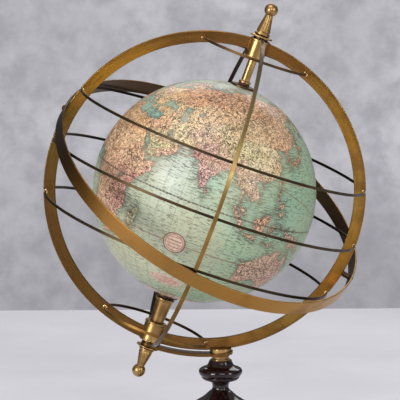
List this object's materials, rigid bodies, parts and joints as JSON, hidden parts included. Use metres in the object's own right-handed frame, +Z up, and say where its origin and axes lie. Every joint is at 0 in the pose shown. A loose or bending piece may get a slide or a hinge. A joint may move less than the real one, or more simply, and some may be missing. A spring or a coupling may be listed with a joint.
{
  "type": "desktop globe",
  "caption": "World globe that turns on a tilted axle inside an armillary cage of brass rings, held by a curved bracket on a black turned stand.",
  "frame": {"origin": "middle of the base's underside, where the stand's axis meets the table", "axes": "+Z up along the stand; -Y is the front; the globe's axis leans 20 degrees towards +X"},
  "size_m": [0.26, 0.2638, 0.4415],
  "materials": {
    "globe_paper": "printed paper map under matt varnish",
    "board": "bare grey-brown board",
    "turned_brass": "turned, antique lacquered",
    "dark_brass": "dark patina",
    "ring_brass": "flat bar, antique lacquered",
    "strip_brass": "rolled strip, dark patina",
    "pin_brass": "bright brass",
    "fibre": "vulcanised fibre",
    "steel": "plated",
    "black_wood": "black gloss lacquer over turned wood",
    "felt": "pressed wool felt"
  },
  "bodies": {
    "stand_and_cage": {"antarctic_ring": "strip_brass", "arc_bracket": "ring_brass", "arctic_ring": "strip_brass", "base_felt": "felt", "cancer_ring": "strip_brass", "capricorn_ring": "strip_brass", "colure_ring": "strip_brass", "ecliptic_band": "ring_brass", "ecliptic_pins": "pin_brass", "equator_ring": "strip_brass", "meridian_ring_east": "ring_brass", "meridian_ring_west": "ring_brass", "north_barrel": "turned_brass", "north_collar": "turned_brass", "north_finial": "turned_brass", "north_spacer": "turned_brass", "north_thrust_washer": "fibre", "parallel_rivets": "pin_brass", "polar_axle": "steel", "ring_saddle": "turned_brass", "saddle_pins": "pin_brass", "south_barrel": "turned_brass", "south_collar": "turned_brass", "south_finial": "turned_brass", "south_spacer": "turned_brass", "south_thrust_washer": "fibre", "stand_base": "black_wood", "stand_column": "black_wood", "stand_ferrule": "turned_brass", "tie_rod": "steel", "tie_rod_nut": "steel", "tie_rod_washer": "steel"},
    "globe": {"globe_north_shell": "globe_paper", "globe_south_shell": "globe_paper", "globe_joint_band": "board", "north_bushing": "turned_brass", "south_bushing": "turned_brass", "north_globe_flange": "dark_brass", "south_globe_flange": "dark_brass"}
  },
  "joints": [
    {"name": "globe_spin", "type": "hinge", "parent": "stand_and_cage", "child": "globe", "pos_m": [-0.013, 0, 0.29], "axis": [0.342, 0, 0.9397], "continuous": true}
  ]
}
